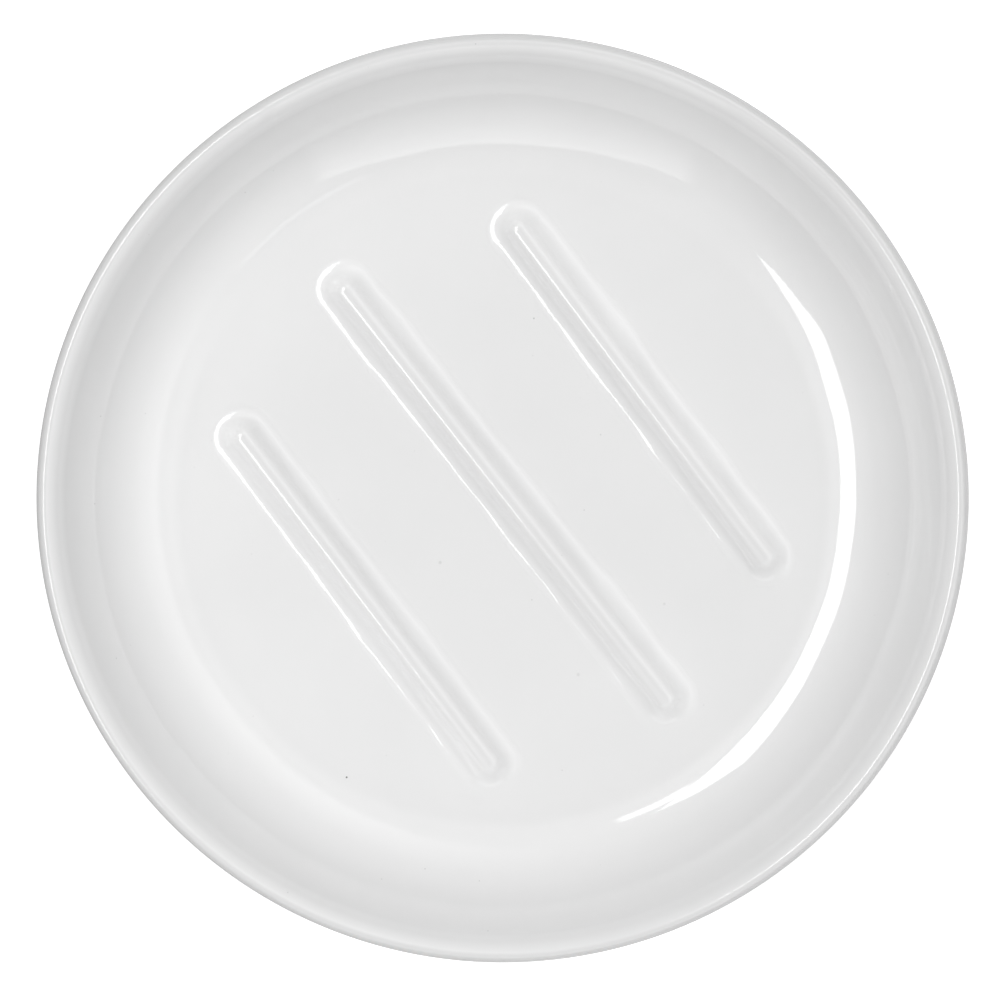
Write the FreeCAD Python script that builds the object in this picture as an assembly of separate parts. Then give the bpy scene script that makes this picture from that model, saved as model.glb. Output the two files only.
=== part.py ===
import FreeCAD, Part
import math
import os

# Round soap dish in white glazed ceramic, in millimetres and degrees.
# One fired clay body carries the floor, the curved wall, the rim, the foot ring and the drain ribs.
# A coat of glaze covers it, and stops at the foot ring, which is wiped bare to stand in the kiln.
# The origin is the centre of the foot's standing plane. +Z is up, and the ribs run along X.

# Dish, measured over the glaze
overall_diameter = 120.0
wall_thickness = 3.7
wall_lean = 65.0  # slope of the wall where it runs into the rim, from the horizontal
bend_radius = 17.8  # inside curve that leads the floor up the wall

# Rim, measured over the glaze: a wide inner shoulder, a tight crest, and a side that runs into the outer wall
shoulder_radius = 4.6
crest_radius = 0.86
crest_inner_slope = 27.0  # where the shoulder ends and the crest starts
crest_outer_slope = 60.0  # where the crest ends and the side starts

# Foot ring, measured over the glaze
foot_outset = 2.6  # how far the ring's outer side stands beyond the flat of the floor
foot_width = 4.0
foot_height = 2.2
foot_edge_radius = 0.5
foot_crease_radius = 1.2

# Glaze
glaze_thickness = 0.35
bare_foot_height = 0.8  # strip of the foot that is wiped clean

# Drain ribs, measured over the glaze
rib_pitch = 22.55
rib_height = 2.0
rib_crest_radius = 1.95
rib_flank_slope = 47.0
rib_root_radius = 3.8
middle_rib_margin = 1.85  # from the rib's rounded end to the edge of the flat floor
outer_rib_margin = 0.8
middle_rib_turn = 1.1  # the middle rib lies a little off the direction of the outer two
middle_rib_shift = 0.4  # and a little nearer to one of them
ribs_shift = 0.35  # all three lie a little off the dish's middle, along their run

# How far cutting shapes run past what they cut
overrun = 1.0

# Sizes that follow from the ones above
flank_sine = math.sin(math.radians(rib_flank_slope))
flank_cosine = math.cos(math.radians(rib_flank_slope))

up = FreeCAD.Vector(0, 0, 1)
centre = FreeCAD.Vector(0, 0, 0)


def section_point(radius, level):
    """A point of the dish's section, which is drawn in the XZ plane."""
    return FreeCAD.Vector(radius, 0, level)


def facing(slope):
    """The way that a surface of the section faces: inwards if it climbs outwards, outwards below a slope of 0."""
    return section_point(-math.sin(math.radians(slope)), math.cos(math.radians(slope)))


# The centres of the rim's arcs, seen from the centre of the bend. Each arc runs smoothly into the next.
shoulder_offset = facing(wall_lean) * -(bend_radius + shoulder_radius)
crest_offset = shoulder_offset + facing(crest_inner_slope) * (shoulder_radius - crest_radius)
crest_end = facing(-crest_outer_slope)
crest_to_outside = bend_radius + wall_thickness - crest_radius
side_growth = (crest_offset.dot(crest_offset) - crest_to_outside**2) / (
    2 * (crest_offset.dot(crest_end) - crest_to_outside)
)
side_radius = crest_radius + side_growth
side_offset = crest_offset - crest_end * side_growth

flat_floor_radius = overall_diameter / 2 - side_radius - side_offset.x
floor_level = foot_height + wall_thickness
bend_centre = section_point(flat_floor_radius, floor_level + bend_radius)
shoulder_centre = bend_centre + shoulder_offset
crest_centre = bend_centre + crest_offset
side_centre = bend_centre + side_offset
rim_level = crest_centre.z + crest_radius

foot_outer_radius = flat_floor_radius + foot_outset
foot_inner_radius = foot_outer_radius - foot_width

rib_crest_centre = floor_level + rib_height - rib_crest_radius
rib_half_width = (rib_crest_radius + (rib_height - rib_crest_radius) * flank_cosine) / flank_sine
rib_foot_radius = rib_half_width + rib_root_radius * math.tan(math.radians(rib_flank_slope) / 2)


def arc(start, arc_centre, end):
    """The shorter arc from start to end about arc_centre."""
    radius = (start - arc_centre).Length
    towards = (start - arc_centre) + (end - arc_centre)
    return Part.Arc(start, arc_centre + towards.normalize() * radius, end).toShape()


def line(start, end):
    return Part.LineSegment(start, end).toShape()


def turned_dish(inset):
    """The dish without its ribs, its glazed surface set in by inset, turned about the Z axis."""
    outline, under_edge, foot_crease = section_outline(inset)
    dish = Part.Face(outline).revolve(centre, up, 360)
    creases = round_edges(dish, under_edge) + round_edges(dish, foot_crease)
    return dish.makeFillet(foot_crease_radius + inset, creases)


def section_outline(inset):
    """The closed outline of half the dish's section, and the points of the foot ring's two creases."""
    outer_bend_radius = bend_radius + wall_thickness - inset
    outward = (side_centre - bend_centre).normalize()

    foot_side = foot_outer_radius - inset
    foot_reach = foot_side - flat_floor_radius
    foot_top = bend_centre.z - math.sqrt(outer_bend_radius**2 - foot_reach**2)

    under_centre = section_point(0, foot_height + inset)
    under_edge = section_point(foot_inner_radius + inset, foot_height + inset)
    foot_heel = section_point(foot_inner_radius + inset, 0)
    foot_toe = section_point(foot_side, 0)
    foot_crease = section_point(foot_side, foot_top)
    side_start = side_centre + outward * (side_radius - inset)
    side_end = crest_centre + crest_end * (crest_radius - inset)
    crest_start = crest_centre + facing(crest_inner_slope) * (crest_radius - inset)
    wall_end = shoulder_centre + facing(wall_lean) * (shoulder_radius - inset)
    floor_edge = section_point(flat_floor_radius, floor_level - inset)
    floor_centre = section_point(0, floor_level - inset)

    outline = Part.Wire(
        [
            line(under_centre, under_edge),
            line(under_edge, foot_heel),
            line(foot_heel, foot_toe),
            line(foot_toe, foot_crease),
            arc(foot_crease, bend_centre, side_start),
            arc(side_start, side_centre, side_end),
            arc(side_end, crest_centre, crest_start),
            arc(crest_start, shoulder_centre, wall_end),
            arc(wall_end, bend_centre, floor_edge),
            line(floor_edge, floor_centre),
            line(floor_centre, under_centre),
        ]
    )
    return outline, under_edge, foot_crease


def round_edges(shape, point):
    """The circular edges that pass through a point of the section."""
    vertex = Part.Vertex(point)
    tolerance = vertex.Tolerance
    return [edge for edge in shape.Edges if edge.Closed and edge.distToShape(vertex)[0] <= tolerance]


def rib(inset, margin, side, turn):
    """One rib with rounded ends, its surface set in by inset and its root sunk into the floor."""
    end_reach = flat_floor_radius - margin - rib_foot_radius
    half_span = math.sqrt(end_reach**2 - side**2)
    crest = rib_crest_radius - inset
    root_level = floor_level - wall_thickness / 2

    shoulder_width = crest * flank_sine
    shoulder_level = rib_crest_centre + crest * flank_cosine
    root_width = shoulder_width + (shoulder_level - root_level) * flank_cosine / flank_sine

    top = FreeCAD.Vector(0, 0, rib_crest_centre + crest)
    root_centre = FreeCAD.Vector(0, 0, root_level)
    near_shoulder = FreeCAD.Vector(0, -shoulder_width, shoulder_level)
    far_shoulder = FreeCAD.Vector(0, shoulder_width, shoulder_level)
    near_root = FreeCAD.Vector(0, -root_width, root_level)
    far_root = FreeCAD.Vector(0, root_width, root_level)

    rib_axis = FreeCAD.Vector(0, 0, rib_crest_centre)
    near_half = [line(near_root, near_shoulder), arc(near_shoulder, rib_axis, top)]
    far_half = [arc(top, rib_axis, far_shoulder), line(far_shoulder, far_root)]
    whole_section = Part.Face(Part.Wire(near_half + far_half + [line(far_root, near_root)]))
    half_section = Part.Face(Part.Wire(near_half + [line(top, root_centre), line(root_centre, near_root)]))

    bar = whole_section.extrude(FreeCAD.Vector(2 * half_span, 0, 0))
    bar.translate(FreeCAD.Vector(-half_span, 0, 0))
    right_end = half_section.revolve(centre, up, 180)
    right_end.translate(FreeCAD.Vector(half_span, 0, 0))
    left_end = right_end.copy()
    left_end.rotate(centre, up, 180)

    whole = bar.fuse([right_end, left_end]).removeSplitter()
    whole.rotate(centre, up, turn)
    whole.translate(FreeCAD.Vector(ribs_shift, side, 0))
    return whole


def dish_form(inset):
    """The whole dish with its ribs blended into the floor, its glazed surface set in by inset."""
    ribs = [
        rib(inset, outer_rib_margin, -rib_pitch, 0),
        rib(inset, middle_rib_margin, middle_rib_shift, middle_rib_turn),
        rib(inset, outer_rib_margin, rib_pitch, 0),
    ]
    dish = turned_dish(inset).fuse(ribs).removeSplitter()
    roots = [edge for wire in floor_face(dish, inset).Wires[1:] for edge in wire.Edges]
    return dish.makeFillet(rib_root_radius + inset, roots)


def floor_face(dish, inset):
    """The flat of the dish's floor, which the ribs stand on: its outer wire comes first."""
    level = floor_level - inset
    flats = [face for face in dish.Faces if isinstance(face.Surface, Part.Plane)]
    return min(flats, key=lambda face: abs(face.CenterOfMass.z - level))


def ceramic_body():
    """The fired clay, with the standing edges of its bare foot rounded off."""
    body = dish_form(glaze_thickness)
    heel = section_point(foot_inner_radius + glaze_thickness, 0)
    toe = section_point(foot_outer_radius - glaze_thickness, 0)
    return body.makeFillet(foot_edge_radius, round_edges(body, heel) + round_edges(body, toe))


def glaze_skins(body):
    """The two skins of glaze that the bare foot ring parts: the coat of the dish, then the underside's."""
    wiped_radius = foot_outer_radius + overrun
    wiped = Part.makeCylinder(wiped_radius, bare_foot_height + overrun, section_point(0, -overrun), up)
    skins = dish_form(0).cut([body, wiped]).Solids
    return sorted(skins, key=lambda skin: skin.BoundBox.ZMax, reverse=True)


def main():
    os.makedirs("parts", exist_ok=True)
    body = ceramic_body()
    coat, underside = glaze_skins(body)
    pieces = {"ceramic_body": body, "glaze_coat": coat, "underside_glaze": underside}
    for name, piece in pieces.items():
        piece.exportStep(f"parts/{name}.step")
        print(f"{name}: {len(piece.Solids)} solid, {piece.Volume:.1f} mm3, valid {piece.isValid()}")
    depth = rim_level - floor_level
    print(f"flat floor radius {flat_floor_radius:.2f}, depth {depth:.2f}, overall height {rim_level:.2f}")


main()
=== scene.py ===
import math

import bpy
import numpy as np
from mathutils import Matrix, Vector
from mathutils.geometry import delaunay_2d_cdt


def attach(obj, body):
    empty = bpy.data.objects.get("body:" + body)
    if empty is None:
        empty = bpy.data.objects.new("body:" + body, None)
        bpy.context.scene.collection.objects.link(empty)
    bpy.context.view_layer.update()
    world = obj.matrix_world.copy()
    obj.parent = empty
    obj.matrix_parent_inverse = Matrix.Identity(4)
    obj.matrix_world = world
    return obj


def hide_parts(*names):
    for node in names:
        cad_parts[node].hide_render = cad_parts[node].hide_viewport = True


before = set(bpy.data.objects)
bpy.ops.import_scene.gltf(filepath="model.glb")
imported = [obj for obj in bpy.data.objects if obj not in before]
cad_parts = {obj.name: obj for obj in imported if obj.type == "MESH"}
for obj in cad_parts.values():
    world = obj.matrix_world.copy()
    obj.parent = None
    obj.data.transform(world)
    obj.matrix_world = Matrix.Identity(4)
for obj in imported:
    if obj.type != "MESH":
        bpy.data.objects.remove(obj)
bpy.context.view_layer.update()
scene = bpy.context.scene
scene.view_settings.view_transform = "Standard"
print("frame loaded:", ", ".join(sorted(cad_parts)))

millimetre = 0.001  # in metres

# sizes in millimetres, over the glaze, as the CAD part has them
dish = {
    "diameter": 120.0,
    "wall": 3.7,
    "lean": 65.0,  # slope where the inside runs into the rim
    "bend": 17.8,
    "shoulder": 4.6,  # rounding from the wall up to the rim's crest
    "crest": 0.86,
    "crestInner": 27.0,  # slopes where the crest starts and ends
    "crestOuter": 60.0,
    "footOutset": 2.6,
    "footWidth": 4.0,
    "footHeight": 2.2,
    "crease": 1.2,
    "glaze": 0.35,
    "bareFoot": 0.8,
    "hubShare": 0.08,  # the underside's innermost ring, as a share of its radius
    "around": 320,  # faces round the dish
}
ribs = {
    "pitch": 22.55,
    "height": 2.0,
    "crest": 1.95,
    "slope": 47.0,
    "root": 3.8,
    "middleMargin": 1.85,
    "middleShift": 0.4,
    "outerMargin": 0.8,
    "shift": 0.35,  # all three lie a little off the dish's middle
    "middleTurn": 1.1,
    "along": 48,  # faces along a rib
    "roundEnd": 28,  # faces round each end
}
# faces along each run of the section
facets = {
    "bend": 44,
    "shoulder": 16,
    "crest": 18,
    "rimEdge": 14,
    "outer": 30,
    "crease": 10,
    "footSide": 3,
    "beadSide": 2,
    "bead": 6,
    "underside": 12,
    "ribCrest": 9,
    "ribFlank": 4,
    "ribRoot": 9,
}
# glaze is thinnest where the depth is -1 and pools where it is 1
glazeDepth = {"bend": 0.1, "crest": -1.0, "crease": 1.0, "ribCrest": -0.6, "ribRoot": 0.8}
# loose points that keep the flat floor's faces even in size, in millimetres
loosePoints = {"step": 3.0, "rowShare": 0.866, "edgeGap": 1.6, "ribGap": 1.3}

slopeSin, slopeCos = math.sin(math.radians(ribs["slope"])), math.cos(math.radians(ribs["slope"]))


# centres of the rim's arcs, from the centre of the inside bend
def atSlope(degrees):
    return np.array((math.sin(math.radians(degrees)), math.cos(math.radians(degrees))))


shoulderAt = (dish["bend"] + dish["shoulder"]) * atSlope(dish["lean"]) * (1, -1)
crestAt = shoulderAt + (dish["shoulder"] - dish["crest"]) * atSlope(dish["crestInner"]) * (-1, 1)
crestOut = atSlope(dish["crestOuter"])
outerReach = dish["bend"] + dish["wall"] - dish["crest"]
sideGrowth = (crestAt @ crestAt - outerReach**2) / (2 * (crestAt @ crestOut - outerReach))
rimSide = dish["crest"] + sideGrowth  # the rim's outer side runs smoothly into the outer wall
sideAt = crestAt - sideGrowth * crestOut
sideEnd = math.degrees(math.atan2(sideAt[1], sideAt[0]))

flatRadius = dish["diameter"] / 2 - rimSide - sideAt[0]
floorLevel = dish["footHeight"] + dish["wall"]
bendCentre = np.array((flatRadius, floorLevel + dish["bend"]))
widestLevel = bendCentre[1] + sideAt[1]
footOuter = flatRadius + dish["footOutset"]
footInner = footOuter - dish["footWidth"]
ribHalf = (ribs["crest"] + (ribs["height"] - ribs["crest"]) * slopeCos) / slopeSin
ribReach = ribHalf + ribs["root"] * math.tan(math.radians(ribs["slope"] / 2))


# section runs: rows of radius, level, normal outwards, normal upwards, glaze depth
# the glaze depth fades to 0 at each join
def arcRun(centreR, centreZ, radius, fromDeg, toDeg, steps, hollow=False, depth=0.0):
    turn = np.radians(np.linspace(fromDeg, toDeg, steps + 1))
    nr, nz = np.cos(turn), np.sin(turn)
    sign = -1.0 if hollow else 1.0
    depths = depth * np.sin(np.linspace(0, math.pi, steps + 1))
    return np.column_stack([centreR + radius * nr, centreZ + radius * nz, sign * nr, sign * nz, depths])


def straightRun(start, end, normal, steps):
    t = np.linspace(0, 1, steps + 1)[:, None]
    points = np.array(start) * (1 - t) + np.array(end) * t
    return np.column_stack([points, np.tile(normal, (steps + 1, 1)), np.zeros(steps + 1)])


def joinRuns(runs):
    return np.vstack([runs[0]] + [run[1:] for run in runs[1:]])


def coatRun(inset):
    tilt = dish["lean"] - 90
    outerBend = dish["bend"] + dish["wall"] - inset
    crease = dish["crease"] + inset
    side = footOuter - inset
    creaseR = side + crease
    creaseZ = bendCentre[1] - math.sqrt((outerBend + crease) ** 2 - (creaseR - flatRadius) ** 2)
    meet = math.degrees(math.atan2(creaseZ - bendCentre[1], creaseR - flatRadius))
    crestFrom, crestTo = 90 + dish["crestInner"], 90 - dish["crestOuter"]
    bend = arcRun(*bendCentre, dish["bend"] + inset, -90, tilt, facets["bend"], True, glazeDepth["bend"])
    shoulderCentre, crestCentre, sideCentre = (bendCentre + at for at in (shoulderAt, crestAt, sideAt))
    shoulder = arcRun(*shoulderCentre, dish["shoulder"] - inset, 180 + tilt, crestFrom, facets["shoulder"])
    crestRadius = dish["crest"] - inset
    crest = arcRun(*crestCentre, crestRadius, crestFrom, crestTo, facets["crest"], depth=glazeDepth["crest"])
    rimEdge = arcRun(*sideCentre, rimSide - inset, crestTo, sideEnd, facets["rimEdge"])
    outer = arcRun(*bendCentre, outerBend, sideEnd, meet, facets["outer"])
    fold = arcRun(creaseR, creaseZ, crease, meet + 180, 180, facets["crease"], True, glazeDepth["crease"])
    runs = [bend, shoulder, crest, rimEdge, outer, fold]
    if inset:
        runs.append(straightRun(fold[-1][:2], (side, dish["bareFoot"]), (1.0, 0.0), facets["footSide"]))
    else:
        beadR, beadZ = side - dish["glaze"], dish["bareFoot"] + dish["glaze"]
        bead = arcRun(beadR, beadZ, dish["glaze"], 0, -90, facets["bead"])
        runs.append(straightRun(fold[-1][:2], bead[0][:2], (1.0, 0.0), facets["beadSide"]))
        runs.append(bead)
    return joinRuns(runs)


def undersideRun(inset):
    side = footInner + inset
    top = dish["footHeight"] + inset
    crease = dish["crease"] + inset
    hub = side * dish["hubShare"]
    flat = straightRun((hub, top), (side - crease, top), (0.0, -1.0), facets["underside"])
    fold = arcRun(side - crease, top - crease, crease, 90, 0, facets["crease"], True, glazeDepth["crease"])
    runs = [flat, fold]
    if inset:
        runs.append(straightRun(fold[-1][:2], (side, dish["bareFoot"]), (-1.0, 0.0), facets["footSide"]))
    else:
        beadR, beadZ = side + dish["glaze"], dish["bareFoot"] + dish["glaze"]
        bead = arcRun(beadR, beadZ, dish["glaze"], 180, 270, facets["bead"])
        runs.append(straightRun(fold[-1][:2], bead[0][:2], (-1.0, 0.0), facets["beadSide"]))
        runs.append(bead)
    return joinRuns(runs)


# mesh bits: points, normals, glaze depth and faces that grow as the skins are laid
def newBits():
    return {"points": [], "normals": [], "depth": [], "faces": []}


def addPoints(bits, points, normals, depth):
    start = len(bits["points"])
    bits["points"].extend(map(tuple, points))
    bits["normals"].extend(map(tuple, normals))
    bits["depth"].extend(depth)
    return np.arange(start, start + len(points))


def spinRun(bits, run, flip, lastRing=None):
    turn = np.linspace(0, 2 * math.pi, dish["around"], endpoint=False)
    c, s = np.cos(turn), np.sin(turn)
    sign = -1.0 if flip else 1.0
    rings = []
    for k, (r, z, nr, nz, depth) in enumerate(run):
        if lastRing is not None and k == len(run) - 1:
            rings.append(lastRing)
            break
        points = np.column_stack([r * c, r * s, np.full(len(turn), z)])
        normals = sign * np.column_stack([nr * c, nr * s, np.full(len(turn), nz)])
        rings.append(addPoints(bits, points, normals, np.full(len(turn), depth)))
    for low, high in zip(rings, rings[1:]):
        for a, b, d, e in zip(low, np.roll(low, -1), np.roll(high, -1), high):
            bits["faces"].append((a, b, d, e))
    return rings


def ribRun(inset):
    crest = ribs["crest"] - inset
    root = ribs["root"] + inset
    crestZ = floorLevel + ribs["height"] - ribs["crest"]
    rootZ = floorLevel + ribs["root"]
    top = arcRun(0.0, crestZ, crest, 90, 90 - ribs["slope"], facets["ribCrest"])
    top[:, 4] = glazeDepth["ribCrest"] * np.cos(np.linspace(0, math.pi / 2, len(top)))
    rootFrom = 270 - ribs["slope"]
    foot = arcRun(ribReach, rootZ, root, rootFrom, 270, facets["ribRoot"], True, glazeDepth["ribRoot"])
    flank = straightRun(top[-1][:2], foot[0][:2], (slopeSin, slopeCos), facets["ribFlank"])
    return joinRuns([top, flank, foot])


def ribPatch(bits, inset, flip, margin, side, turnDeg):
    halfSpan = math.sqrt((flatRadius - margin - ribReach) ** 2 - side**2)
    sign = -1.0 if flip else 1.0
    turn = math.radians(turnDeg)

    def place(points):
        x, y = points[:, 0], points[:, 1]
        moved = points.copy()
        moved[:, 0] = x * math.cos(turn) - y * math.sin(turn)
        moved[:, 1] = x * math.sin(turn) + y * math.cos(turn)
        return moved

    stations = np.linspace(-halfSpan, halfSpan, ribs["along"] + 1)
    sweep = np.linspace(math.pi / 2, -math.pi / 2, ribs["roundEnd"] + 1)[1:-1]
    # directions and centres of one loop: far side, right end, near side, left end
    side1, side2 = np.full(len(stations), math.pi / 2), np.full(len(stations), -math.pi / 2)
    end1, end2 = np.full(len(sweep), halfSpan), np.full(len(sweep), -halfSpan)
    centres = np.concatenate([stations, end1, stations[::-1], end2])
    angles = np.concatenate([side1, sweep, side2, sweep - math.pi])
    loops = []
    run = ribRun(inset)
    for r, z, nr, nz, depth in run[1:]:
        c, s = np.cos(angles), np.sin(angles)
        points = np.column_stack([centres + r * c, r * s, np.full(len(angles), z)])
        normals = sign * np.column_stack([nr * c, nr * s, np.full(len(angles), nz)])
        moved = place(points)
        moved += (ribs["shift"], side, 0.0)
        loops.append(addPoints(bits, moved, place(normals), np.full(len(angles), depth)))
    for inner, outer in zip(loops, loops[1:]):
        for a, b, d, e in zip(inner, np.roll(inner, -1), np.roll(outer, -1), outer):
            bits["faces"].append((a, b, d, e))
    # the crest line closes the top
    ridge = place(np.column_stack([stations, np.zeros(len(stations)), np.full(len(stations), run[0][1])]))
    ridge += (ribs["shift"], side, 0.0)
    ridgeNormals = np.tile((0.0, 0.0, sign), (len(stations), 1))
    line = addPoints(bits, ridge, ridgeNormals, np.full(len(stations), glazeDepth["ribCrest"]))
    first = loops[0]
    count, cap = len(stations), len(sweep)
    farSide = first[:count]
    nearSide = first[count + cap : 2 * count + cap][::-1]
    for k in range(count - 1):
        bits["faces"].append((line[k], line[k + 1], farSide[k + 1], farSide[k]))
        bits["faces"].append((line[k], line[k + 1], nearSide[k + 1], nearSide[k]))
    rightEnd = first[count - 1 : count + cap + 1]
    leftEnd = np.append(first[2 * count + cap - 1 :], first[0])
    for tip, end in ((line[-1], rightEnd), (line[0], leftEnd)):
        for a, b in zip(end, end[1:]):
            bits["faces"].append((tip, a, b))
    return loops[-1]


def insideLoop(x, y, loop):
    ax, ay = loop[:, 0], loop[:, 1]
    bx, by = np.roll(ax, -1), np.roll(ay, -1)
    tiny = 1e-12  # keeps a level edge from dividing by 0
    cross = ((ay > y) != (by > y)) & (x < (bx - ax) * (y - ay) / (by - ay + tiny) + ax)
    return cross.sum() % 2 == 1


def fillFloor(bits, inset, flip, rim, loops):
    level = floorLevel - inset
    flatPoints = [np.array([bits["points"][i][:2] for i in ring]) for ring in [rim] + loops]
    step, rowStep = loosePoints["step"], loosePoints["step"] * loosePoints["rowShare"]
    reach = int(flatRadius / rowStep)
    loose = []
    for j in range(-reach, reach + 1):
        for i in range(-reach, reach + 1):
            x = (i + 0.5 * (j % 2)) * step  # every other row lies half a step over
            y = j * rowStep
            if math.hypot(x, y) > flatRadius - loosePoints["edgeGap"]:
                continue
            gaps = [np.hypot(ring[:, 0] - x, ring[:, 1] - y).min() for ring in flatPoints[1:]]
            underRib = any(insideLoop(x, y, ring) for ring in flatPoints[1:])
            if min(gaps) > loosePoints["ribGap"] and not underRib:
                loose.append((x, y))
    sign = -1.0 if flip else 1.0
    flat = [(x, y, level) for x, y in loose]
    extra = addPoints(bits, flat, [(0.0, 0.0, sign)] * len(flat), [0.0] * len(flat))
    index = np.concatenate([rim] + loops + [extra])
    coords = [Vector(bits["points"][i][:2]) for i in index]
    edges, start = [], 0
    for ring in [rim] + loops:
        edges += [(start + k, start + (k + 1) % len(ring)) for k in range(len(ring))]
        start += len(ring)
    outer = [list(range(len(rim)))]
    insideOnly, mergeGap = 1, 1e-6
    points, _, faces, origin, _, _ = delaunay_2d_cdt(coords, edges, outer, insideOnly, mergeGap)
    for face in faces:
        middle = sum((points[k] for k in face), Vector((0, 0))) / len(face)
        if any(insideLoop(middle.x, middle.y, ring) for ring in flatPoints[1:]):
            continue
        bits["faces"].append(tuple(index[origin[k][0]] for k in face))


def floorSkin(bits, inset, flip, rim):
    loops = [
        ribPatch(bits, inset, flip, ribs["outerMargin"], -ribs["pitch"], 0.0),
        ribPatch(bits, inset, flip, ribs["middleMargin"], ribs["middleShift"], ribs["middleTurn"]),
        ribPatch(bits, inset, flip, ribs["outerMargin"], ribs["pitch"], 0.0),
    ]
    fillFloor(bits, inset, flip, rim, loops)


def fanCentre(bits, ring, level, normal):
    tip = addPoints(bits, [(0.0, 0.0, level)], [normal], [0.0])[0]
    for a, b in zip(ring, np.roll(ring, -1)):
        bits["faces"].append((tip, a, b))


def makePiece(name, bits, material, node):
    points = np.array(bits["points"]) * millimetre
    normals = np.array(bits["normals"])
    normals /= np.linalg.norm(normals, axis=1)[:, None]
    faces = []
    for face in bits["faces"]:
        a, b, c = points[face[0]], points[face[1]], points[face[2]]
        facing = np.cross(b - a, c - a) if len(face) == 3 else np.cross(c - a, points[face[3]] - b)
        faces.append(face if facing @ normals[list(face)].sum(0) >= 0 else face[::-1])
    mesh = bpy.data.meshes.new(name)
    mesh.from_pydata(points.tolist(), [], [tuple(int(i) for i in face) for face in faces])
    mesh.validate()
    mesh.polygons.foreach_set("use_smooth", [True] * len(mesh.polygons))
    depth = mesh.attributes.new("glazeDepth", "FLOAT", "POINT")
    depth.data.foreach_set("value", np.array(bits["depth"], np.float32))
    mesh.normals_split_custom_set_from_vertices(normals.tolist())
    mesh.materials.append(material)
    piece = bpy.data.objects.new(name, mesh)
    scene.collection.objects.link(piece)
    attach(piece, "root")
    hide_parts(node)
    print(name, "faces:", len(mesh.polygons))
    return piece


# materials: groups of nodes that they share, then the two looks
def addNode(tree, kind, **values):
    node = tree.nodes.new(kind)
    for key, value in values.items():
        setattr(node, key, value)
    return node


def feed(tree, socket, value):
    if isinstance(value, (int, float, tuple)):
        socket.default_value = value
    else:
        tree.links.new(value, socket)


def mathNode(tree, operation, *values):
    node = addNode(tree, "ShaderNodeMath", operation=operation)
    for socket, value in zip(node.inputs, values):
        feed(tree, socket, value)
    return node.outputs["Value"]


def levelRamp(tree, source, stops, span, smooth=True):
    ramp = addNode(tree, "ShaderNodeValToRGB")
    ramp.color_ramp.interpolation = "EASE" if smooth else "LINEAR"
    marks = ramp.color_ramp.elements
    for k, (at, level) in enumerate(stops):
        mark = marks[k] if k < 2 else marks.new(1.0)
        mark.position = at / span
        mark.color = (level, level, level, 1.0)
    tree.links.new(source, ramp.inputs["Fac"])
    return ramp.outputs["Color"]


def newGroup(name, inputs, output):
    group = bpy.data.node_groups.new(name, "ShaderNodeTree")
    for label in inputs:
        kind = "NodeSocketVector" if label in ("Position", "Centre") else "NodeSocketFloat"
        group.interface.new_socket(label, in_out="INPUT", socket_type=kind)
    group.interface.new_socket(output, in_out="OUTPUT", socket_type="NodeSocketFloat")
    return group, addNode(group, "NodeGroupInput").outputs, addNode(group, "NodeGroupOutput").inputs[output]


def useGroup(tree, group, values):
    node = addNode(tree, "ShaderNodeGroup", node_tree=group)
    for label, value in values.items():
        feed(tree, node.inputs[label], value)
    return node.outputs[0]


def noiseIn(tree, position, scale, detail):
    noise = addNode(tree, "ShaderNodeTexNoise")
    feed(tree, noise.inputs["Vector"], position)
    feed(tree, noise.inputs["Scale"], scale)
    feed(tree, noise.inputs["Detail"], detail)
    return mathNode(tree, "SUBTRACT", noise.outputs[0], 0.5)


def cloudGroup():
    group, given, out = newGroup("cloudyTone", ["Position", "Scale", "Detail", "Spread"], "Tone")
    cloud = noiseIn(group, given["Position"], given["Scale"], given["Detail"])
    group.links.new(mathNode(group, "MULTIPLY_ADD", cloud, given["Spread"], 1.0), out)
    return group


# heights in millimetres
def reliefGroup():
    inputs = ["Position", "Wave Scale", "Wave Height", "Grain Scale", "Grain Height"]
    group, given, out = newGroup("surfaceRelief", inputs, "Height")
    waveDetail, grainDetail = 1.0, 2.0
    wave = noiseIn(group, given["Position"], given["Wave Scale"], waveDetail)
    grain = noiseIn(group, given["Position"], given["Grain Scale"], grainDetail)
    low = mathNode(group, "MULTIPLY", wave, given["Wave Height"])
    group.links.new(mathNode(group, "MULTIPLY_ADD", grain, given["Grain Height"], low), out)
    return group


def specksGroup():
    group, given, out = newGroup("scatteredSpecks", ["Position", "Scale", "Share", "Size"], "Mask")
    smallest, crispness = 0.4, 2.0  # the smallest speck's share of the size, and how crisp its edge is
    cells = addNode(group, "ShaderNodeTexVoronoi")
    feed(group, cells.inputs["Vector"], given["Position"])
    feed(group, cells.inputs["Scale"], given["Scale"])
    chance = addNode(group, "ShaderNodeSeparateColor")
    group.links.new(cells.outputs["Color"], chance.inputs["Color"])
    picked = mathNode(group, "LESS_THAN", chance.outputs["Red"], given["Share"])
    sizeShare = mathNode(group, "ADD", chance.outputs["Green"], smallest)
    size = mathNode(group, "MULTIPLY", given["Size"], sizeShare)
    inside = mathNode(group, "SUBTRACT", 1.0, mathNode(group, "DIVIDE", cells.outputs["Distance"], size))
    soft = mathNode(group, "MULTIPLY", mathNode(group, "MAXIMUM", inside, 0.0), crispness)
    soft = mathNode(group, "MINIMUM", soft, 1.0)
    group.links.new(mathNode(group, "MULTIPLY", soft, picked), out)
    return group


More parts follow.
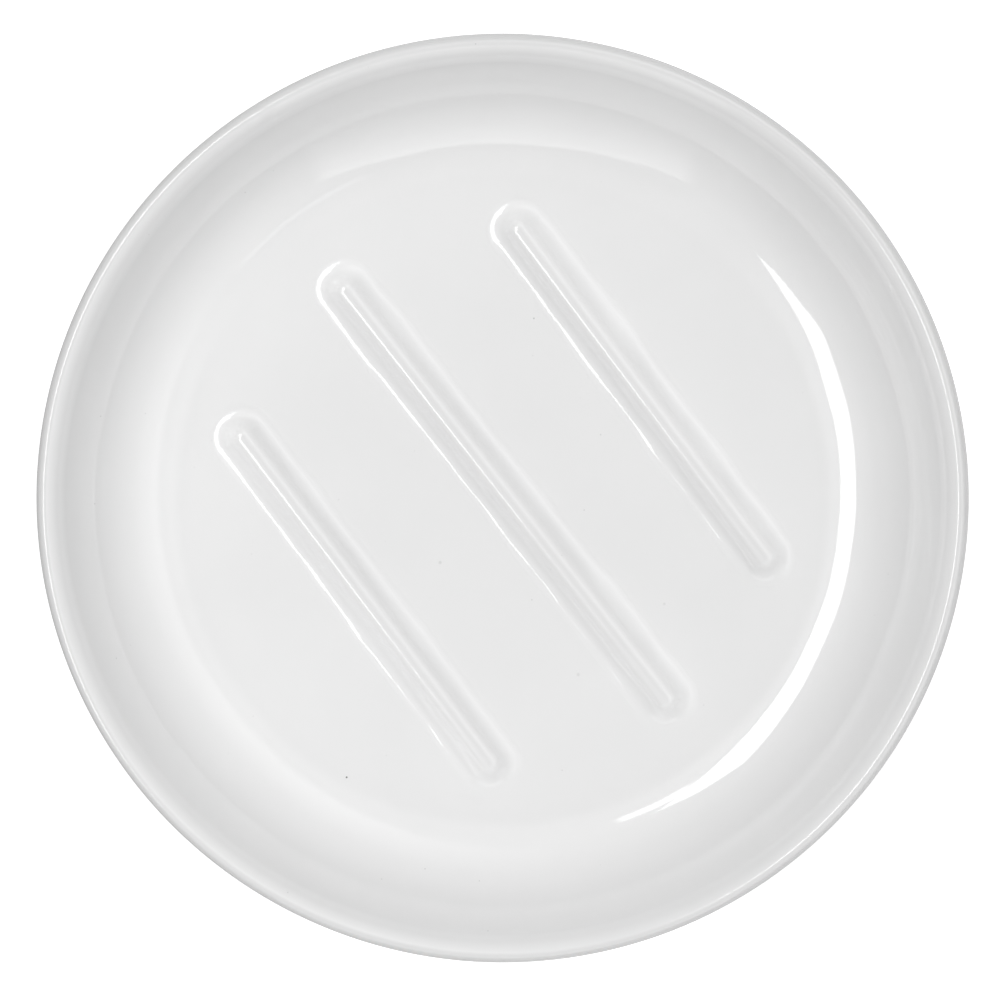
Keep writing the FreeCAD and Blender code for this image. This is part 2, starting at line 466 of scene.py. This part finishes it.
# one round mark on the surface, soft towards its edge
def markGroup():
    group, given, out = newGroup("roundMark", ["Position", "Centre", "Radius"], "Mask")
    gap = addNode(group, "ShaderNodeVectorMath", operation="DISTANCE")
    feed(group, gap.inputs[0], given["Position"])
    feed(group, gap.inputs[1], given["Centre"])
    share = mathNode(group, "DIVIDE", gap.outputs["Value"], given["Radius"])
    inside = mathNode(group, "MAXIMUM", mathNode(group, "SUBTRACT", 1.0, share), 0.0)
    crispness = 1.5
    soft = mathNode(group, "MULTIPLY", inside, crispness)
    group.links.new(mathNode(group, "MINIMUM", soft, 1.0), out)
    return group


cloudyTone = cloudGroup()
surfaceRelief = reliefGroup()
scatteredSpecks = specksGroup()
roundMark = markGroup()

glazeLook = {
    "color": (0.88, 0.88, 0.88),
    "roughness": 0.05,
    "ior": 1.65,
    "byDepth": [(0.0, 0.93), (0.5, 1.0), (1.0, 0.985)],  # tone where glaze is thin, even and pooled
    "cloud": {"Scale": 55.0, "Detail": 3.0, "Spread": 0.06},
    "film": {"Scale": 90.0, "Detail": 4.0, "Spread": 1.2},
    "specks": {"Scale": 400.0, "Share": 0.6, "Size": 0.035},
    "speckTone": 0.22,
    "speckDepth": 0.01,
    "speckRoughness": 0.2,
    "relief": {"Wave Scale": 70.0, "Wave Height": 0.12, "Grain Scale": 600.0, "Grain Height": 0.0015},
    # glaze lies unevenly where it pools, as along the ribs' roots
    "pooling": {"Wave Scale": 100.0, "Wave Height": 0.5, "Grain Scale": 300.0, "Grain Height": 0.03},
    "pinholeDepth": 0.02,
    # pinholes seen in the photo: place and radius in millimetres, then how dark
    "pinholes": [
        ((17.5, -38.8, 6.06), 0.16, 0.9),
        ((-16.0, 17.1, 5.9), 0.14, 0.5),
        ((2.0, -20.4, 5.9), 0.14, 0.35),
        ((2.2, -11.9, 5.9), 0.3, 0.15),
        ((24.9, -6.3, 5.9), 0.3, 0.12),
        ((24.2, 8.3, 5.9), 0.25, 0.12),
    ],
    # a bead of glaze on the rim: place, radius and height in millimetres
    "bead": ((-58.1, 5.2, 18.4), 1.3, 0.05),
}


def inMetres(place):
    return tuple(millimetre * v for v in place)


def glazeMaterial(look):
    material = bpy.data.materials.new("whiteGlaze")
    material.use_nodes = True
    tree = material.node_tree
    shader = tree.nodes["Principled BSDF"]
    position = addNode(tree, "ShaderNodeTexCoord").outputs["Object"]
    depth = addNode(tree, "ShaderNodeAttribute", attribute_name="glazeDepth").outputs["Fac"]
    tone = useGroup(tree, cloudyTone, {"Position": position, **look["cloud"]})
    pooled = mathNode(tree, "MAXIMUM", depth, 0.0)
    depth = mathNode(tree, "MULTIPLY_ADD", depth, 0.5, 0.5)  # -1 to 1 becomes 0 to 1
    byDepth = levelRamp(tree, depth, look["byDepth"], 1.0, smooth=False)
    tone = mathNode(tree, "MULTIPLY", tone, byDepth)
    specks = useGroup(tree, scatteredSpecks, {"Position": position, **look["specks"]})
    height = useGroup(tree, surfaceRelief, {"Position": position, **look["relief"]})
    uneven = useGroup(tree, surfaceRelief, {"Position": position, **look["pooling"]})
    height = mathNode(tree, "MULTIPLY_ADD", uneven, pooled, height)
    height = mathNode(tree, "MULTIPLY_ADD", specks, -look["speckDepth"], height)
    dark = mathNode(tree, "MULTIPLY", specks, look["speckTone"])
    for place, radius, level in look["pinholes"]:
        spot = {"Position": position, "Centre": inMetres(place), "Radius": millimetre * radius}
        mark = useGroup(tree, roundMark, spot)
        dark = mathNode(tree, "MAXIMUM", dark, mathNode(tree, "MULTIPLY", mark, level))
        height = mathNode(tree, "MULTIPLY_ADD", mark, -look["pinholeDepth"], height)
    place, radius, rise = look["bead"]
    spot = {"Position": position, "Centre": inMetres(place), "Radius": millimetre * radius}
    bead = useGroup(tree, roundMark, spot)
    height = mathNode(tree, "MULTIPLY_ADD", bead, rise, height)
    tone = mathNode(tree, "MULTIPLY", tone, mathNode(tree, "SUBTRACT", 1.0, dark))
    color = addNode(tree, "ShaderNodeVectorMath", operation="SCALE")
    color.inputs[0].default_value = look["color"]
    tree.links.new(tone, color.inputs["Scale"])
    film = useGroup(tree, cloudyTone, {"Position": position, **look["film"]})
    rough = mathNode(tree, "MULTIPLY", film, look["roughness"])
    rough = mathNode(tree, "MULTIPLY_ADD", specks, look["speckRoughness"], rough)
    bump = addNode(tree, "ShaderNodeBump")
    bump.inputs["Distance"].default_value = millimetre
    tree.links.new(height, bump.inputs["Height"])
    tree.links.new(color.outputs[0], shader.inputs["Base Color"])
    tree.links.new(rough, shader.inputs["Roughness"])
    tree.links.new(bump.outputs["Normal"], shader.inputs["Normal"])
    shader.inputs["IOR"].default_value = look["ior"]
    return material


clayLook = {
    "color": (0.76, 0.72, 0.65),
    "grogColor": (0.42, 0.35, 0.28, 1.0),
    "roughness": 0.88,
    "ior": 1.45,
    "cloud": {"Scale": 130.0, "Detail": 5.0, "Spread": 0.35},
    "grog": {"Scale": 900.0, "Share": 0.5, "Size": 0.16},
    "relief": {"Wave Scale": 260.0, "Wave Height": 0.05, "Grain Scale": 2600.0, "Grain Height": 0.03},
}


def clayMaterial(look):
    material = bpy.data.materials.new("bareClay")
    material.use_nodes = True
    tree = material.node_tree
    shader = tree.nodes["Principled BSDF"]
    position = addNode(tree, "ShaderNodeTexCoord").outputs["Object"]
    tone = useGroup(tree, cloudyTone, {"Position": position, **look["cloud"]})
    grog = useGroup(tree, scatteredSpecks, {"Position": position, **look["grog"]})
    color = addNode(tree, "ShaderNodeVectorMath", operation="SCALE")
    color.inputs[0].default_value = look["color"]
    tree.links.new(tone, color.inputs["Scale"])
    mixed = addNode(tree, "ShaderNodeMix", data_type="RGBA")
    tree.links.new(grog, mixed.inputs["Factor"])
    tree.links.new(color.outputs[0], mixed.inputs["A"])
    mixed.inputs["B"].default_value = look["grogColor"]
    height = useGroup(tree, surfaceRelief, {"Position": position, **look["relief"]})
    bump = addNode(tree, "ShaderNodeBump")
    bump.inputs["Distance"].default_value = millimetre
    tree.links.new(height, bump.inputs["Height"])
    tree.links.new(mixed.outputs["Result"], shader.inputs["Base Color"])
    tree.links.new(mathNode(tree, "MULTIPLY", tone, look["roughness"]), shader.inputs["Roughness"])
    tree.links.new(bump.outputs["Normal"], shader.inputs["Normal"])
    shader.inputs["IOR"].default_value = look["ior"]
    return material


whiteGlaze = glazeMaterial(glazeLook)
bareClay = clayMaterial(clayLook)
print("materials ready")

coat = newBits()
outerRings = spinRun(coat, coatRun(0.0), False)
floorSkin(coat, 0.0, False, outerRings[0])
innerRings = spinRun(coat, coatRun(dish["glaze"]), True, lastRing=outerRings[-1])
floorSkin(coat, dish["glaze"], True, innerRings[0])
makePiece("glazeCoat", coat, whiteGlaze, "glaze_coat")

under = newBits()
underRings = spinRun(under, undersideRun(0.0), False)
fanCentre(under, underRings[0], dish["footHeight"], (0.0, 0.0, -1.0))
backRings = spinRun(under, undersideRun(dish["glaze"]), True, lastRing=underRings[-1])
fanCentre(under, backRings[0], dish["footHeight"] + dish["glaze"], (0.0, 0.0, 1.0))
makePiece("undersideGlaze", under, whiteGlaze, "underside_glaze")

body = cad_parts["ceramic_body"]
body.data.materials.clear()
body.data.materials.append(bareClay)
print("skins and body ready")

# studio: angles as the photo has them, 0 to the right and 90 up the picture
studio = {
    "roll": 53.1,  # turns the ribs to the photo's diagonal
    "cameraHeight": 640.0,
    "cameraLean": 5.1,  # the camera stands a little off the dish's axis
    "cameraSide": 88.0,
    "outlineRadius": 466.05,  # of the dish, in pixels
    "outlineCentre": (502.65, 497.75),
    "pictureSize": 1000,
    "sensorWidth": 36.0,
    "clipStart": 0.01,
}


def towards(azimuth, zenith):
    a = math.radians(azimuth + studio["roll"])
    z = math.radians(zenith)
    return Vector((math.sin(z) * math.cos(a), math.sin(z) * math.sin(a), math.cos(z)))


def addSoftbox(name, length, width, radiance):
    lamp = bpy.data.lights.new(name, "AREA")
    lamp.shape = "RECTANGLE"
    lamp.size, lamp.size_y = length, width
    lamp.energy = radiance * math.pi * length * width
    softbox = bpy.data.objects.new(name, lamp)
    scene.collection.objects.link(softbox)
    return softbox


# the key softbox lies level above the dish's left, with a small lamp at its corner; lengths in metres
lamps = {
    "keySoftbox": {"right": -0.501, "up": 0.005, "turn": 82.0,
                   "length": 1.01, "width": 0.29, "radiance": 5.0},
    "keyCorner": {"right": -0.243, "up": 0.386, "turn": 25.6,
                  "length": 0.12, "width": 0.09, "radiance": 4.0},
}
lampHeight = 1.0
for name, lamp in lamps.items():
    softbox = addSoftbox(name, lamp["length"], lamp["width"], lamp["radiance"])
    aside, ahead = towards(0.0, 90.0) * lamp["right"], towards(90.0, 90.0) * lamp["up"]
    softbox.location = aside + ahead + Vector((0, 0, lampHeight))
    softbox.rotation_euler = (0, 0, math.radians(lamp["turn"] + studio["roll"]))

# the room is dim overhead and near the floor, and has wide soft banks of light round the dish
# stops: zenith angle in degrees, then level; a bank's top drops towards its sides
# a level below 0 is a gap, where the sky is dimmer
room = {
    "sky": [(0, 0.08), (9, 0.08), (18, 0.735), (30, 0.745), (45, 0.36), (62, 0.31), (76, 0.1), (90, 0.0)],
    "banks": {
        "right": {"turn": 25.0, "inner": 42.0, "outer": 105.0, "level": 0.84, "drop": 3.0,
                  "rise": [(0, 0.0), (23, 0.0), (29, 1.0), (40, 1.0), (52, 0.5), (66, 0.26), (90, 0.05)]},
        "foot": {"turn": 270.0, "inner": 25.5, "outer": 28.0, "level": 1.2, "drop": 9.0,
                 "rise": [(0, 0.0), (37, 0.0), (38.5, 1.0), (46, 0.7), (60, 0.3), (80, 0.08)]},
        "head": {"turn": 85.0, "inner": 25.0, "outer": 75.0, "level": 0.135, "drop": 0.0,
                 "rise": [(0, 0.0), (50, 0.0), (62, 1.0), (90, 0.8)]},
        "left": {"turn": 182.0, "inner": 40.0, "outer": 75.0, "level": 0.26, "drop": 0.0,
                 "rise": [(0, 0.0), (12, 0.0), (20, 1.0), (42, 1.0), (56, 0.2), (72, 0.0)]},
        "overHead": {"turn": 90.0, "inner": 30.0, "outer": 70.0, "level": 0.17, "drop": 0.0,
                     "rise": [(0, 0.0), (20, 0.0), (28, 1.0), (44, 1.0), (60, 0.0)]},
        "tube": {"turn": 301.0, "inner": 9.0, "outer": 13.0, "level": 0.8, "drop": 0.0,
                 "rise": [(0, 0.0), (31, 0.0), (32.5, 1.0), (34.5, 1.0), (36, 0.0)]},
        "footGap": {"turn": 268.0, "inner": 32.0, "outer": 60.0, "level": -0.4, "drop": 0.0,
                    "rise": [(0, 0.0), (10, 0.0), (18, 1.0), (35, 1.0), (42, 0.0)]},
        "leftGap": {"turn": 175.0, "inner": 50.0, "outer": 80.0, "level": -0.14, "drop": 0.0,
                    "rise": [(0, 0.0), (45, 0.0), (58, 1.0), (66, 0.9), (76, 0.4), (90, 0.0)]},
    },
}

world = bpy.data.worlds.new("studioRoom")
scene.world = world
world.use_nodes = True
sky = world.node_tree
way = addNode(sky, "ShaderNodeTexCoord")
parts = addNode(sky, "ShaderNodeSeparateXYZ")
sky.links.new(way.outputs["Generated"], parts.inputs["Vector"])
zenith = mathNode(sky, "DIVIDE", mathNode(sky, "ARCCOSINE", parts.outputs["Z"]), math.pi / 2)
turn = mathNode(sky, "ARCTAN2", parts.outputs["Y"], parts.outputs["X"])
light = levelRamp(sky, zenith, room["sky"], 90)
for bank in room["banks"].values():
    middle = math.radians(bank["turn"] + studio["roll"])
    off = mathNode(sky, "WRAP", mathNode(sky, "SUBTRACT", turn, middle), math.pi, -math.pi)
    off = mathNode(sky, "DIVIDE", mathNode(sky, "ABSOLUTE", off), math.pi)
    across = levelRamp(sky, off, [(0, 1.0), (bank["inner"], 1.0), (bank["outer"], 0.0)], 180)
    share = mathNode(sky, "MULTIPLY", off, 180 / bank["inner"])
    drop = mathNode(sky, "MULTIPLY", mathNode(sky, "MULTIPLY", share, share), bank["drop"] / 90)
    height = levelRamp(sky, mathNode(sky, "SUBTRACT", zenith, drop), bank["rise"], 90)
    lit = mathNode(sky, "MULTIPLY", across, height)
    light = mathNode(sky, "MULTIPLY_ADD", lit, bank["level"], light)
sky.nodes["Background"].inputs["Color"].default_value = (1.0, 1.0, 1.0, 1.0)
# the camera itself sees white above the ground
skyRays = addNode(sky, "ShaderNodeLightPath")
light = mathNode(sky, "MAXIMUM", light, skyRays.outputs["Is Camera Ray"])
sky.links.new(light, sky.nodes["Background"].inputs["Strength"])

# the pale ground shows white to the camera, is lighter in reflections, and keeps the dish's shadow; painted
# shade darkens its colour and its glow in reflections on one side
# from below it is clear, and it glows at close range, so that the foot can be seen
floorLook = {
    "color": (0.6, 0.6, 0.6),
    "size": 12.0,
    "level": -0.00002,
    "lift": 0.75,
    "mirrorLift": 0.25,
    "roughness": 0.9,
    "underLift": 0.5,
    "underReach": 0.004,
    "paintedShadeSide": 185.0,  # painted shade: the ground's colour and its glow in reflections are darker towards this side of the dish
    "paintedShadeStrength": 0.25,
}
bpy.ops.mesh.primitive_plane_add(size=floorLook["size"], location=(0, 0, floorLook["level"]))
ground = bpy.context.object
ground.name = "ground"
paleGround = bpy.data.materials.new("paleGround")
paleGround.use_nodes = True
tree = paleGround.node_tree
shader = tree.nodes["Principled BSDF"]
shader.inputs["Roughness"].default_value = floorLook["roughness"]
spot = addNode(tree, "ShaderNodeSeparateXYZ")
tree.links.new(addNode(tree, "ShaderNodeTexCoord").outputs["Object"], spot.inputs["Vector"])
# painted shade: the ground's colour is darkened towards one side of the dish, so that the rim's outer side
# reflects a darker ground there
around = mathNode(tree, "ARCTAN2", spot.outputs["Y"], spot.outputs["X"])
around = mathNode(tree, "SUBTRACT", around, math.radians(floorLook["paintedShadeSide"] + studio["roll"]))
paintedShadeSide = mathNode(tree, "MAXIMUM", mathNode(tree, "COSINE", around), 0.0)
tone = addNode(tree, "ShaderNodeVectorMath", operation="SCALE")
tone.inputs[0].default_value = floorLook["color"]
tree.links.new(mathNode(tree, "MULTIPLY_ADD", paintedShadeSide, -floorLook["paintedShadeStrength"], 1.0), tone.inputs["Scale"])
tree.links.new(tone.outputs[0], shader.inputs["Base Color"])
shader.inputs["Emission Color"].default_value = (1.0, 1.0, 1.0, 1.0)
rays = addNode(tree, "ShaderNodeLightPath")
mirrored = mathNode(tree, "MAXIMUM", rays.outputs["Is Glossy Ray"], rays.outputs["Is Transmission Ray"])
seen = mathNode(tree, "MULTIPLY", rays.outputs["Is Camera Ray"], floorLook["lift"])
# painted shade: the ground's glow in reflections is also lower towards that side
mirrorLift = mathNode(tree, "MULTIPLY_ADD", paintedShadeSide, -floorLook["mirrorLift"], floorLook["mirrorLift"])
seen = mathNode(tree, "MULTIPLY_ADD", mirrored, mirrorLift, seen)
close = mathNode(tree, "LESS_THAN", rays.outputs["Ray Length"], floorLook["underReach"])
seen = mathNode(tree, "MULTIPLY_ADD", close, floorLook["underLift"], seen)
tree.links.new(seen, shader.inputs["Emission Strength"])
clear = addNode(tree, "ShaderNodeBsdfTransparent")
sided = addNode(tree, "ShaderNodeMixShader")
tree.links.new(addNode(tree, "ShaderNodeNewGeometry").outputs["Backfacing"], sided.inputs["Fac"])
tree.links.new(shader.outputs[0], sided.inputs[1])
tree.links.new(clear.outputs[0], sided.inputs[2])
tree.links.new(sided.outputs[0], tree.nodes["Material Output"].inputs["Surface"])
ground.data.materials.append(paleGround)

camera = bpy.data.cameras.new("camera")
cameraObject = bpy.data.objects.new("camera", camera)
scene.collection.objects.link(cameraObject)
scene.camera = cameraObject
silhouette = widestLevel * millimetre
pictureSize = studio["pictureSize"]
camera.sensor_width = studio["sensorWidth"]
camera.clip_start = studio["clipStart"]
radius = dish["diameter"] / 2
pixelsPerMm = studio["outlineRadius"] / radius
camera.lens = pixelsPerMm * camera.sensor_width / pictureSize * studio["cameraHeight"]
sight = towards(studio["cameraSide"], studio["cameraLean"])
cameraObject.location = Vector((0, 0, silhouette)) + sight * studio["cameraHeight"] * millimetre
right = towards(90.0, 90.0).cross(sight).normalized()
cameraObject.rotation_euler = Matrix((right, sight.cross(right), sight)).transposed().to_euler()
# the outline's nearer side looks larger, so its middle lies off the aim point
leanShift = radius * math.sin(math.radians(studio["cameraLean"])) / studio["cameraHeight"]
nearer = studio["outlineRadius"] * leanShift
side = math.radians(studio["cameraSide"])
aimX = studio["outlineCentre"][0] - nearer * math.cos(side)
aimY = studio["outlineCentre"][1] + nearer * math.sin(side)
camera.shift_x = 0.5 - aimX / pictureSize
camera.shift_y = aimY / pictureSize - 0.5
print("studio ready")
